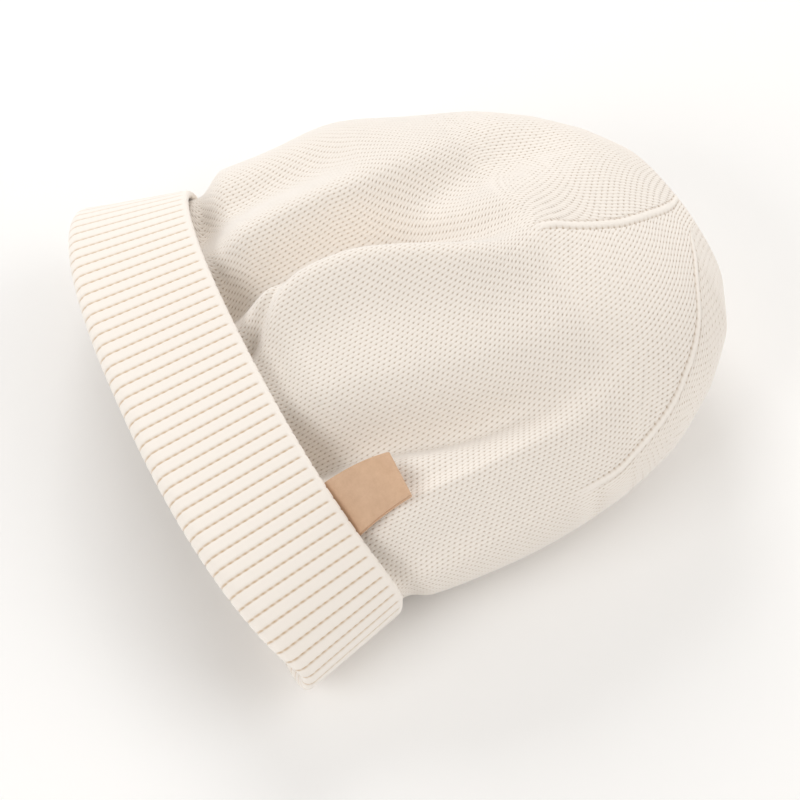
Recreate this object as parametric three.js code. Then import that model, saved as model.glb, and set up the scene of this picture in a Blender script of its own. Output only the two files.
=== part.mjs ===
// A baby's knit cap lying on its side, in millimetres.
// X runs from the mouth to the crown, Y across the cap, and +Z up from the table at z = 0.
// The ribbed cuff is turned up once, and a folded leather label comes out from under its edge.
import * as THREE from 'three';

// Driving dimensions
const SHIFT_X = -4.7; // moves the cap so that its box stands centred on the origin
const SHIFT_Y = 1.8;
const JERSEY_WALL = 1.8;
const TIP_BULGE = 0.3; // the crown's last point beyond its last ring
const LEAF = 2.2; // one leaf of the cuff, without its ribs
const RIB_RISE = 0.4; // crest above and groove below the leaf's mean surface
const RIB_COUNT = 98;
const SELVEDGE = 1.2; // the ribs end this far from the free edge
const RIM_X = -66.5;
const CUFF_HEIGHT = 34; // from the rim to the free edge
const SLIT = 1.2; // between the two leaves
const INNER_LEAF_END = 24.7; // where the inner leaf meets the jersey, from the rim
const JOIN_GAP = 0.7;
const JOIN_DEPTH = 4.7; // of the jersey below the cuff's outer surface where it meets the inner leaf
const JOIN_STEP = 0.2; // the inner leaf is this much further out there
const EDGE_DEPTH = { top: 6.4, round: 2.9 }; // under the free edge, which stands off the upper body
const STANDS_OFF = { from: 0.3, to: 0.75 }; // between these heights on the ring, as a sine
const BODY_BLEND = 11; // over this length past the free edge the body takes its own shape
const BOW_ROUNDNESS = 1.2; // how sharply the bow of a section grows towards its top
const LABEL = {
  length: 21, width: 15.5, leather: 0.8, slit: 0.3, clearance: 0.4,
  slant: 0.35, // of the end in the cuff, off square
  turn: 0.12, // towards the near side
};
const LABEL_ROOT = { x: -46, y: -49.2 }; // the root's corner on the far side, under the cuff's edge

// Meshes
const FINE = 480; // points of a ring before it is spread
const JERSEY_MESH = { around: 60, underside: 0.4 }; // points round a ring, and their density below
const PRESSED = { from: 3, to: 16 }; // heights between which the points come closer
const LABEL_MESH = { rows: 7, across: 5 };
const PATH_STEPS = 40; // along a fold

// A table's rows become objects with the names of its columns
const table = (columns, rows) => rows.map((row) =>
  Object.fromEntries(columns.map((name, i) => [name, row[i]])));

const RING_COLUMNS = ['x', 'bow', 'skew', 'near', 'far', 'top', 'side', 'low', 'roundTop', 'roundLow'];

// Cross sections: bow carries the upper middle towards the mouth, skew turns the section about Z,
// near and far are its ends in Y, side is the height of its widest line, low is flattened at the table
const CUFF_SECTIONS = table(RING_COLUMNS, [
  [RIM_X, 20.5, -0.01, -92, 88, 47, 18, -3, 2.3, 2.8],
  [RIM_X + CUFF_HEIGHT, 16.0, 0.005, -78, 78, 55, 20, -3, 2.3, 2.8],
]);
const BODY_SECTIONS = table(RING_COLUMNS, [
  [-34, 16.0, 0, -76, 78.5, 50, 20, 1, 2.3, 2.8],
  [-25, 14.5, 0, -76.5, 81, 55.5, 21.5, -3, 2.2, 2.8],
  [-10, 11.0, 0, -77.5, 79.5, 64, 24, -4, 2.1, 2.7],
  [12, 6.0, 0.02, -76.5, 79, 71, 27, -5, 2.05, 2.6],
  [35, 2.0, 0.06, -71, 71, 72, 29, -5, 2.0, 2.5],
  [54, 0, 0.11, -62, 64.5, 68, 31, -4, 2.1, 2.4],
  [70, 0, 0.14, -49.5, 57, 61.5, 32, -1, 2.15, 2.2],
  [82, 0, 0.15, -36.5, 48, 54.5, 33, 6, 2.15, 2.1],
  [90, 0, 0.14, -22, 37, 48.5, 33.5, 16, 2.1, 2.0],
  [93.8, 0, 0.13, -7, 23, 41, 34, 25, 2.0, 2.0],
  [95, 0, 0.13, 4, 8, 35.5, 34.2, 32, 2.0, 2.0],
]);

// Folds of the body: height is above (ridge) or below (valley) the sections' surface, and lean moves
// a ridge sideways, away from the viewer. Each path point is [x, y, strength].
const FOLDS = table(['name', 'width', 'height', 'lean', 'path'], [
  ['far valley', 9, -7, 0, [[-44, 52, 1], [-26, 53, 1], [-10, 50, 0.7], [6, 46, 0]]],
  ['far ridge', 8, 4, 0, [[-46, 36, 1], [-23, 33, 1], [-2, 31, 1], [14, 32, 0.7], [40, 37, 0]]],
  ['deep valley', 8, -13, 0, [[-50, 21, 1], [-36, 21, 1], [-20, 20, 1], [-8, 17.5, 1],
    [4, 11, 0.9], [16, 4, 0.6], [28, -1, 0.3], [40, -4, 0]]],
  ['far hollow', 11, -8, 0, [[-10, 23, 0], [4, 21, 0.7], [18, 20, 1], [34, 23, 0.9],
    [52, 28, 0.6], [72, 33, 0]]],
  ['middle ridge', 8, 7, 3, [[-54, 8, 0.7], [-42, 6, 1], [-30, 3.5, 1], [-14, 0.5, 1], [-4, -4, 1],
    [9, -10, 0.9], [20, -14, 0.8], [28, -14, 0.6], [38, -9, 0.3], [50, -6, 0]]],
  ['small tuck', 2.6, -5, 0, [[-56, -5, 1], [-47, 0, 1], [-41, 4, 1], [-36, 6.5, 1], [-31, 9, 0.5],
    [-25, 11, 0]]],
  ['label valley', 7, -13, 0, [[-52, -33, 1], [-40, -37.5, 1], [-24, -43, 1], [-10, -47.5, 1],
    [4, -50.5, 0.9], [20, -51.5, 0.6], [36, -50, 0.3], [52, -48, 0]]],
  ['near ridge', 5, 8, 0, [[-44, -63, 0.7], [-34, -65.5, 1], [-24, -67.5, 1], [-10, -68, 0.9],
    [6, -67, 0.6], [20, -65, 0.3], [34, -63, 0]]],
  ['near valley', 4.5, -6, 0, [[-42, -70, 0.8], [-28, -72.5, 1], [-14, -73.5, 0.8], [0, -75, 0]]],
]);
const VALLEYS_BEGIN = { from: -41, to: -29 }; // x of the section where a valley starts and is full
const RIDGES_BEGIN = { from: -34, to: -20 };
const UPPER_SIDE = { from: 0.35, to: 0.65 }; // share of the height where the folds begin

// Rows of the jersey's mesh: the x of the sections, closer at the gathers and at the crown
const JERSEY_ROWS = [
  RIM_X + INNER_LEAF_END + JOIN_GAP,
  -37.5, -33.5, -29.5, -25.5, -21, -16, -11, -6, 0, 6, 12, 18, 24, 30, 36, 42, 48, 54, 60,
  65.5, 71, 75.5, 79.5, 83.5, 87, 90, 92.5, 94.2, 95,
];

// Mixes two values, and eases from 0 to 1 between two places
const mix = (a, b, f) => a + (b - a) * f;
const ease = (from, to, value) => THREE.MathUtils.smoothstep(value, from, to);

// Catmull-Rom value of one column between four rows
function curveValue(before, start, end, after, f) {
  const bend = 2 * before - 5 * start + 4 * end - after;
  const twist = -before + 3 * start - 3 * end + after;
  return 0.5 * (2 * start + (end - before) * f + bend * f * f + twist * f * f * f);
}

// The section at x, smooth through all rows of its table
function sectionAt(sections, x) {
  const last = sections.length - 1;
  let i = sections.findIndex((row) => row.x > x) - 1;
  if (i < 0) i = x < sections[last].x ? 0 : last - 1;
  const start = sections[i];
  const end = sections[i + 1];
  const f = (x - start.x) / (end.x - start.x);
  const section = {};
  for (const name of RING_COLUMNS) {
    const before = sections[i - 1] ?? { [name]: 2 * start[name] - end[name] };
    const after = sections[i + 2] ?? { [name]: 2 * end[name] - start[name] };
    section[name] = curveValue(before[name], start[name], end[name], after[name], f);
  }
  section.x = x;
  return section;
}

// A rounded power that keeps its sign, which makes a circle squarer
const roundPower = (value, roundness) => Math.sign(value) * Math.abs(value) ** (2 / roundness);

// One closed ring of points, from the near side over the top to the far side and back below
function sectionRing(section, count) {
  const middle = (section.near + section.far) / 2;
  const halfWidth = (section.far - section.near) / 2;
  const floor = Math.max(section.low, 0);
  const ring = [];
  for (let i = 0; i < count; i += 1) {
    const angle = (2 * Math.PI * i) / count;
    const up = Math.sin(angle);
    const round = up > 0 ? section.roundTop : section.roundLow;
    const reach = up > 0 ? section.top - section.side : section.side - section.low;
    const y = middle - halfWidth * roundPower(Math.cos(angle), round);
    const z = section.side + reach * roundPower(up, round);
    const x = section.x - section.bow * Math.max(up, 0) ** BOW_ROUNDNESS - section.skew * (y - middle);
    ring.push(new THREE.Vector3(x, y, Math.max(z, floor)));
  }
  return ring;
}

// Outward normals of a ring, in the plane across the cap, from the points reach places away
function ringNormals(ring, reach) {
  return ring.map((_, j) => {
    const before = ring.at(j - reach);
    const after = ring[(j + reach) % ring.length];
    return new THREE.Vector3(0, before.z - after.z, after.y - before.y).normalize();
  });
}

// The cuff's section at a place along it, from the rim
function cuffSection(along) {
  const [rim, edge] = CUFF_SECTIONS;
  const columns = RING_COLUMNS.map((name) => [name, mix(rim[name], edge[name], along / CUFF_HEIGHT)]);
  return Object.fromEntries(columns);
}

// The body's ring at x, before its folds: held in the cuff's shape under the cuff, then its own
function plainBodyRing(x) {
  const own = sectionRing(sectionAt(BODY_SECTIONS, Math.max(x, BODY_SECTIONS[0].x)), FINE);
  const edgeX = RIM_X + CUFF_HEIGHT;
  const share = ease(edgeX, edgeX + BODY_BLEND, x);
  if (share === 1) return own;
  const cuff = sectionRing(cuffSection(x - RIM_X), FINE);
  const normals = ringNormals(cuff, 4);
  const toEdge = ease(RIM_X + INNER_LEAF_END, edgeX, x);
  return cuff.map((point, i) => {
    const up = Math.sin((2 * Math.PI * i) / FINE);
    const standsOff = ease(STANDS_OFF.from, STANDS_OFF.to, up);
    const edgeDepth = mix(EDGE_DEPTH.round, EDGE_DEPTH.top, standsOff);
    const depth = mix(JOIN_DEPTH, edgeDepth, toEdge);
    return point.addScaledVector(normals[i], -depth).lerp(own[i], share);
  });
}

// Each fold's path as a smooth curve of short steps
const foldPaths = FOLDS.map((fold) => {
  const curve = new THREE.CatmullRomCurve3(fold.path.map((point) => new THREE.Vector3(...point)));
  return curve.getPoints(PATH_STEPS);
});

// The nearest place on a path: its distance, the path's strength there, and its side direction
function nearestOnPath(path, point) {
  const best = { distance: Infinity, strength: 0, side: new THREE.Vector2() };
  for (let i = 0; i < path.length - 1; i += 1) {
    const along = new THREE.Vector2(path[i + 1].x - path[i].x, path[i + 1].y - path[i].y);
    const to = new THREE.Vector2(point.x - path[i].x, point.y - path[i].y);
    const f = THREE.MathUtils.clamp(to.dot(along) / along.lengthSq(), 0, 1);
    const distance = to.addScaledVector(along, -f).length();
    if (distance < best.distance) {
      best.distance = distance;
      best.strength = mix(path[i].z, path[i + 1].z, f);
      best.side.set(-along.y, along.x).normalize();
    }
  }
  return best;
}

// Moves the upper points of a body ring into the ridges and valleys
function foldRing(ring, x) {
  const valleyGain = ease(VALLEYS_BEGIN.from, VALLEYS_BEGIN.to, x);
  const ridgeGain = ease(RIDGES_BEGIN.from, RIDGES_BEGIN.to, x);
  const top = Math.max(...ring.map((point) => point.z));
  for (const point of ring) {
    const upper = ease(UPPER_SIDE.from, UPPER_SIDE.to, point.z / top);
    const start = point.clone();
    FOLDS.forEach((fold, k) => {
      const nearest = nearestOnPath(foldPaths[k], start);
      const shape = Math.exp(-((nearest.distance / fold.width) ** 2));
      const gain = shape * nearest.strength * upper * (fold.height > 0 ? ridgeGain : valleyGain);
      point.z += fold.height * gain;
      point.x += fold.lean * gain * nearest.side.x;
      point.y += fold.lean * gain * nearest.side.y;
    });
  }
  return ring;
}

// Spreads count points round a closed ring, with a density given for each point of it
function spread(ring, count, density = () => 1) {
  const lengths = [0];
  ring.forEach((point, i) => {
    const next = ring[(i + 1) % ring.length];
    lengths.push(lengths[i] + point.distanceTo(next) * density(point));
  });
  const total = lengths[ring.length];
  const result = [];
  let k = 0;
  for (let i = 0; i < count; i += 1) {
    const target = (total * i) / count;
    while (lengths[k + 1] < target) k += 1;
    const f = (target - lengths[k]) / (lengths[k + 1] - lengths[k]);
    result.push(ring[k].clone().lerp(ring[(k + 1) % ring.length], f));
  }
  return result;
}

// One ring of the jersey's outer surface
function bodyRing(x, count) {
  const ring = foldRing(plainBodyRing(x), x);
  return spread(ring, count, (point) =>
    mix(JERSEY_MESH.underside, 1, ease(PRESSED.from, PRESSED.to, point.z)));
}

// Outward normals of a grid of rings
function gridNormals(rings) {
  return rings.map((ring, i) => ring.map((point, j) => {
    const before = ring[(j + ring.length - 1) % ring.length];
    const after = ring[(j + 1) % ring.length];
    const around = after.clone().sub(before);
    const back = rings[Math.max(i - 1, 0)][j];
    const along = rings[Math.min(i + 1, rings.length - 1)][j].clone().sub(back);
    return along.cross(around).normalize();
  }));
}

// Gathers points and triangles of one closed body
class Shell {
  constructor() {
    this.points = [];
    this.triangles = [];
  }

  addRing(ring) {
    const first = this.points.length;
    this.points.push(...ring);
    return ring.map((_, j) => first + j);
  }

  // Joins two rings of points; one of them may have twice as many as the other
  join(first, second) {
    const turned = second.length > first.length;
    const [fine, coarse] = turned ? [second, first] : [first, second];
    const step = fine.length / coarse.length;
    const middle = Math.ceil(step / 2);
    const faces = [];
    coarse.forEach((corner, j) => {
      const next = coarse[(j + 1) % coarse.length];
      const edge = Array.from({ length: step + 1 }, (_, k) => fine[(j * step + k) % fine.length]);
      for (let k = 0; k < step; k += 1) faces.push([edge[k], edge[k + 1], k < middle ? corner : next]);
      faces.push([corner, edge[middle], next]);
    });
    this.triangles.push(...(turned ? faces.map((face) => face.reverse()) : faces));
  }

  // Closes a ring with a fan of triangles to one point
  close(ring, tip) {
    this.points.push(tip);
    const last = this.points.length - 1;
    ring.forEach((point, j) => this.triangles.push([point, ring[(j + 1) % ring.length], last]));
  }

  // Closes a long thin ring with a strip of triangles between its two sides
  closeStrip(ring) {
    const last = ring.length - 1;
    for (let j = 0; j < ring.length / 2 - 1; j += 1) {
      this.triangles.push([ring[j], ring[j + 1], ring[last - j]]);
      this.triangles.push([ring[j + 1], ring[last - j - 1], ring[last - j]]);
    }
  }

  geometry() {
    const geometry = new THREE.BufferGeometry();
    const numbers = this.points.flatMap((point) => point.toArray());
    geometry.setAttribute('position', new THREE.Float32BufferAttribute(numbers, 3));
    geometry.setIndex(this.triangles.flat());
    geometry.computeVertexNormals();
    return geometry;
  }
}

const ringCentre = (ring) => ring.reduce((sum, point) => sum.add(point), new THREE.Vector3())
  .divideScalar(ring.length);

// The jersey: an outer and an inner surface, joined at the lower edge and closed at the crown
function jerseyGeometry() {
  const outer = JERSEY_ROWS.map((x) => bodyRing(x, JERSEY_MESH.around));
  const normals = gridNormals(outer);
  normals[0] = ringNormals(outer[0], 1);
  const inner = outer.map((ring, i) => ring.map((point, j) =>
    point.clone().addScaledVector(normals[i][j], -JERSEY_WALL)));
  const shell = new Shell();
  const outerRings = outer.map((ring) => shell.addRing(ring));
  const innerRings = inner.map((ring) => shell.addRing(ring));
  for (let i = 0; i < outerRings.length - 1; i += 1) {
    shell.join(outerRings[i + 1], outerRings[i]);
    shell.join(innerRings[i], innerRings[i + 1]);
  }
  shell.join(outerRings[0], innerRings[0]);
  const outerTip = ringCentre(outer.at(-1)).add(new THREE.Vector3(TIP_BULGE, 0, 0));
  const innerTip = outerTip.clone().sub(new THREE.Vector3(JERSEY_WALL, 0, 0));
  shell.close([...outerRings.at(-1)].reverse(), outerTip);
  shell.close(innerRings.at(-1), innerTip);
  return shell.geometry();
}

// A half circle's points in the cuff's profile, about the fold at the rim
function foldArc(centreAlong, centreDepth, radius, angles) {
  return angles.map((degrees) => {
    const angle = THREE.MathUtils.degToRad(degrees);
    return [centreAlong - radius * Math.sin(angle), centreDepth - radius * Math.cos(angle)];
  });
}

// The cuff's profile: along from the rim, depth below the outer surface, and which rows have ribs
function cuffProfile() {
  const rimRadius = LEAF + SLIT / 2;
  const slitStart = rimRadius + 1;
  const middle = CUFF_HEIGHT / 2;
  const spreading = (JOIN_DEPTH - JOIN_STEP - LEAF - SLIT) / 2; // of the leaves, half way along
  const rimArc = foldArc(rimRadius, rimRadius, rimRadius, [40, 90, 140]);
  const slitArc = foldArc(slitStart, rimRadius, SLIT / 2, [135, 45]);
  const ribbed = [[CUFF_HEIGHT - SELVEDGE, 0], [middle, 0], [rimRadius, 0], ...rimArc];
  const plain = [
    [rimRadius + 2, 2 * rimRadius],
    [middle - 3, 2 * rimRadius + spreading],
    [INNER_LEAF_END, JOIN_DEPTH - JOIN_STEP + LEAF],
    [INNER_LEAF_END, JOIN_DEPTH - JOIN_STEP],
    [middle - 3, LEAF + SLIT + spreading],
    ...slitArc,
    [middle, LEAF],
    [CUFF_HEIGHT, LEAF],
    [CUFF_HEIGHT, LEAF / 4],
  ];
  const columns = ['along', 'depth', 'ribbed'];
  return table(columns, [...ribbed.map((row) => [...row, true]), ...plain.map((row) => [...row, false])]);
}

// The ribbed band, folded once at the rim: outer leaf, rim, inner leaf, and the slit between them
function cuffGeometry() {
  const shell = new Shell();
  const rings = cuffProfile().map((row) => {
    const ring = spread(sectionRing(cuffSection(row.along), FINE), 2 * RIB_COUNT);
    const normals = ringNormals(ring, 2);
    const points = ring.map((point, j) => {
      const rise = row.ribbed ? RIB_RISE * (j % 2 ? -1 : 1) : 0;
      const placed = point.clone().addScaledVector(normals[j], rise - row.depth);
      placed.z = Math.max(placed.z, 0); // the lowest ribs are pressed flat on the table
      return placed;
    });
    return shell.addRing(row.ribbed ? points : points.filter((_, j) => j % 2 === 0));
  });
  rings.forEach((ring, i) => shell.join(ring, rings[(i + 1) % rings.length]));
  return shell.geometry();
}

// The underside of the label: rows straight across it, each just clear of the body below
function labelUnderside(jersey) {
  const ray = new THREE.Raycaster();
  const down = new THREE.Vector3(0, 0, -1);
  const above = 100; // higher than any point of the cap
  const bodyHeight = (x, y) => {
    ray.set(new THREE.Vector3(x, y, above), down);
    return ray.intersectObject(jersey)[0].point.z;
  };
  const { length, width, clearance } = LABEL;
  const place = (along, across) => [
    LABEL_ROOT.x + along + LABEL.slant * across * (1 - along / length),
    LABEL_ROOT.y - across - LABEL.turn * along,
  ];
  const rowStep = length / LABEL_MESH.rows;
  const margin = 1; // the body rises beside the label
  const rows = Array.from({ length: LABEL_MESH.rows + 1 }, (_, k) => {
    const far = bodyHeight(...place(k * rowStep, 0));
    const near = bodyHeight(...place(k * rowStep, width));
    let lift = 0;
    for (let across = -margin; across <= width + margin; across += width / 12) {
      for (const offset of [-rowStep / 2, 0, rowStep / 2]) {
        const below = bodyHeight(...place(k * rowStep + offset, across));
        lift = Math.max(lift, below - mix(far, near, across / width));
      }
    }
    return { far: far + lift + clearance, near: near + lift + clearance };
  });
  return (along, across) => {
    const [x, y] = place(along, across);
    const step = along / rowStep;
    const k = Math.min(Math.floor(step), LABEL_MESH.rows - 1);
    const far = mix(rows[k].far, rows[k + 1].far, step - k);
    const near = mix(rows[k].near, rows[k + 1].near, step - k);
    return new THREE.Vector3(x, y, mix(far, near, across / width));
  };
}

// The label's profile, as pairs of points on the strip's outer and inner side: the layer below,
// the fold at the free end, and the layer above
function labelProfile() {
  const { length, leather, slit } = LABEL;
  const outerRadius = leather + slit / 2;
  const foldStart = length - outerRadius;
  const below = Array.from({ length: LABEL_MESH.rows + 1 }, (_, k) => {
    const along = (foldStart * k) / LABEL_MESH.rows;
    return { outer: [along, 0], inner: [along, leather] };
  });
  const turn = (radius, degrees) => {
    const angle = THREE.MathUtils.degToRad(degrees);
    return [foldStart + radius * Math.cos(angle), outerRadius + radius * Math.sin(angle)];
  };
  const fold = [-45, 0, 45].map((degrees) => (
    { outer: turn(outerRadius, degrees), inner: turn(slit / 2, degrees) }));
  const above = below.map(({ outer: [along] }) => (
    { outer: [along, 2 * outerRadius], inner: [along, leather + slit] })).reverse();
  return [...below, ...fold, ...above];
}

function labelGeometry(jersey) {
  const underside = labelUnderside(jersey);
  const across = Array.from({ length: LABEL_MESH.across + 1 }, (_, j) =>
    (LABEL.width * j) / LABEL_MESH.across);
  const shell = new Shell();
  const rings = labelProfile().map(({ outer, inner }) => {
    const side = ([along, above], places) => places.map((place) => {
      const point = underside(along, place);
      point.z += above;
      return point;
    });
    return shell.addRing([...side(outer, across), ...side(inner, [...across].reverse())]);
  });
  for (let i = 0; i < rings.length - 1; i += 1) shell.join(rings[i + 1], rings[i]);
  shell.closeStrip(rings[0]);
  shell.closeStrip([...rings.at(-1)].reverse());
  return shell.geometry();
}

// A named mesh with its own plain material
function piece(name, geometry, color, roughness) {
  const material = new THREE.MeshStandardMaterial({ color, roughness, metalness: 0 });
  const mesh = new THREE.Mesh(geometry, material);
  mesh.name = name;
  return mesh;
}

const jersey = piece('jersey_crown', jerseyGeometry(), '#f0e6d6', 0.95);
const cuff = piece('rib_cuff', cuffGeometry(), '#f2e8d8', 0.95);
const label = piece('fold_label', labelGeometry(jersey), '#cdaa8c', 0.7);

const cap = new THREE.Group();
cap.add(jersey, cuff, label);
cap.position.set(SHIFT_X, SHIFT_Y, 0);

export default cap;
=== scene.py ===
# A baby's knit cap lying on its side: stitched jersey, ribbed turned-up cuff and a leather label.
# The form is worked out in millimetres, with X from the mouth to the crown and Z up from the table.
import math
import bmesh
import bpy
import numpy as np
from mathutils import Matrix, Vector


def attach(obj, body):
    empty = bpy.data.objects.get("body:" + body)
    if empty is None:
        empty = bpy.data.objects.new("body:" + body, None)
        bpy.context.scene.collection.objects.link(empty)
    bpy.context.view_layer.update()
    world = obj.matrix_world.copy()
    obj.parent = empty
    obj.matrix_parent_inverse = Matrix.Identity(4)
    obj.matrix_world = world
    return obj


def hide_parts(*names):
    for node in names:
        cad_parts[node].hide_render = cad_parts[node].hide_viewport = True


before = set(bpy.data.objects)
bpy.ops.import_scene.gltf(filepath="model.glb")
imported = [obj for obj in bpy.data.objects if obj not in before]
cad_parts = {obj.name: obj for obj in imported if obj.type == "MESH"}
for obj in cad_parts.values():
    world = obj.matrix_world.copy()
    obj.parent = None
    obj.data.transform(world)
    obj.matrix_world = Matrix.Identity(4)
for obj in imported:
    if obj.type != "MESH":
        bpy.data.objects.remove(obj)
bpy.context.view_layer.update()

# Driving dimensions in millimetres
MM = 0.001
SHIFT = np.array([-4.7, 1.8, 0.0])  # from the form's own origin to the frame's
JERSEY_WALL = 1.8
JERSEY_START = -41.1  # x of the section where the jersey meets the cuff's inner leaf
CROWN_END = 95  # x of the last section
TIP_BULGE = 0.3  # the crown's last point beyond its last section
TIP_AROUND = 0.001  # of the last ring, a point, so that each wale still has its own place on it
COURSE = 1.9  # height of one row of stitches
FULL_WALE = {"width": 2.85, "from": 36, "to": 60}  # width of a wale along the ring in the crown
CREST = 0.12  # the yarn stands this far above the form
GAP_DEPTH = 0.3  # of the gaps in and between the stitches
LEG_GROOVE = 0.1  # of the groove along each side of a stitch's legs
GROOVE_POWER = 6  # the higher, the narrower that groove
ROPE = {  # the tight wale along a decrease line
    "width": 3.3, "rise": 0.22, "groove": 0.12,
    "most": 0.25,  # of its panel's width
}
EVENED = 60  # places round the ring over which the courses are evened out
SLACK_POWER = 4  # the higher, the nearer the crown the courses give way to end in whole rows
RIM_X = -66.5
CUFF_HEIGHT = 34  # from the rim to the free edge
CUFF_LEAF = 2.2  # one leaf of the cuff, without its ribs
CUFF_SLIT = 1.2  # between the two leaves
SLIT_INSET = 1  # from the rim's round to the slit's end
RIBS = 98
RIB_RISE = 0.25  # crest above and groove below the leaf's mean surface
RIB_GROOVE = 0.065  # half width of the groove, as a share of a rib
RIB_BEAD = 0.5  # share of a groove's depth that comes and goes with each course
RIB_COURSE = 2.1  # height of one row of stitches in the ribs
SELVEDGE = {"height": 1.7, "before": 0.8, "after": 0.6}  # the grooves end from before to after it
LIP_HEIGHT = 0.9  # of the selvedge, where a groove is 0 and a crest is 1
LIP_SCALLOP = 0.35  # the grooves draw the free edge in this far
INNER_LEAF_END = 24.7  # where the inner leaf meets the jersey, from the rim
JOIN_DEPTH = 4.7  # of the jersey below the cuff's outer surface where it meets the inner leaf
JOIN_STEP = 0.2  # the inner leaf is this much further out there
EDGE_DEPTH = {"top": 6.4, "round": 2.9}  # under the free edge, which stands off the upper body
STANDS_OFF = {"from": 0.3, "to": 0.75}  # between these heights on the ring, as a sine
BODY_BLEND = 11  # over this length past the free edge the body takes its own shape
BOW_ROUNDNESS = 1.2  # how sharply the bow of a section grows towards its top
LABEL = {
    "length": 21, "width": 15.5, "leather": 0.8, "slit": 0.3, "clearance": 0.5,
    "slant": 0.35,  # of the end in the cuff, off square
    "turn": 0.12,  # towards the near side
    "bevel": 0.15,  # of the cut edges
}
LABEL_ROOT = {"x": -46, "y": -49.2}  # the root's corner on the far side, under the cuff's edge
LABEL_BEND = 2  # the degree of the curve that the label follows
# How the body's height is felt out below the label: from above, past both sides, and fore and aft
LABEL_PROBE = {"above": 100, "past": 1, "beside": 1.5, "along": 12, "across": 18}

# Meshes
FINE = 480  # points of a ring of the form
RING_ANGLES = 2 * np.pi * np.arange(FINE) / FINE
NORMAL_REACH = 4  # such points to each side, from which a normal is taken
AROUND = 960  # places round a ring by arc length
ROWS = {  # the form's rows: their steps along the body, and closer at the crown and its tip
    "body_step": 0.5, "crown_start": 84, "crown_step": 0.15, "tip_start": 93.8, "tip_count": 40,
}
ROW_MARGIN = 0.0001  # kept from the last row, because none follows it
STITCH_MESH = {"columns": 4, "rows": 4}  # faces for each stitch
INNER_SHARE = 4  # the inner side has one face for so many of the outer side's each way
RIB_COLUMNS = 8  # faces round the cuff for each rib
RIB_ROWS = 4  # faces along the outer leaf for each course
CUFF_STEPS = {"inner": 2, "slit": 3, "above_slit": 4}  # in millimetres, where the cuff is plain
ARC_STEPS = {"rim": 12, "slit": 4, "lip": 8}
LIP_SWELL = 6  # steps of the lip's arc over which it rises to the ribs
LABEL_MESH = {"along": 24, "across": 17, "fold": 9, "bevel": 2}
MERGE = 1e-7  # points closer than this are one, in metres
NO_WIDTH = 1e-6  # millimetres, in place of a zero to divide by
NO_LENGTH = 1e-9

# Cross sections: bow carries the upper middle towards the mouth, skew turns the section about Z,
# near and far are its ends in Y, side is the height of its widest line, low is flattened at the table
RING_COLUMNS = ["x", "bow", "skew", "near", "far", "top", "side", "low", "roundTop", "roundLow"]
CUFF_SECTIONS = np.array([
    [RIM_X, 20.5, -0.01, -92, 88, 47, 18, -3, 2.3, 2.8],
    [RIM_X + CUFF_HEIGHT, 16.0, 0.005, -78, 78, 55, 20, -3, 2.3, 2.8],
])
BODY_SECTIONS = np.array([
    [-34, 16.0, 0, -76, 78.5, 50, 20, 1, 2.3, 2.8],
    [-25, 14.5, 0, -76.5, 81, 55.5, 21.5, -3, 2.2, 2.8],
    [-10, 11.0, 0, -77.5, 79.5, 64, 24, -4, 2.1, 2.7],
    [12, 6.0, 0.02, -76.5, 79, 71, 27, -5, 2.05, 2.6],
    [35, 2.0, 0.06, -71, 71, 72, 29, -5, 2.0, 2.5],
    [54, 0, 0.11, -62, 64.5, 68, 31, -4, 2.1, 2.4],
    [70, 0, 0.14, -49.5, 57, 61.5, 32, -1, 2.15, 2.2],
    [82, 0, 0.15, -36.5, 48, 54.5, 33, 6, 2.15, 2.1],
    [90, 0, 0.14, -22, 37, 48.5, 33.5, 16, 2.1, 2.0],
    [93.8, 0, 0.13, -7, 23, 41, 34, 25, 2.0, 2.0],
    [CROWN_END, 0, 0.13, 4, 8, 35.5, 34.2, 32, 2.0, 2.0],
])

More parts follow.
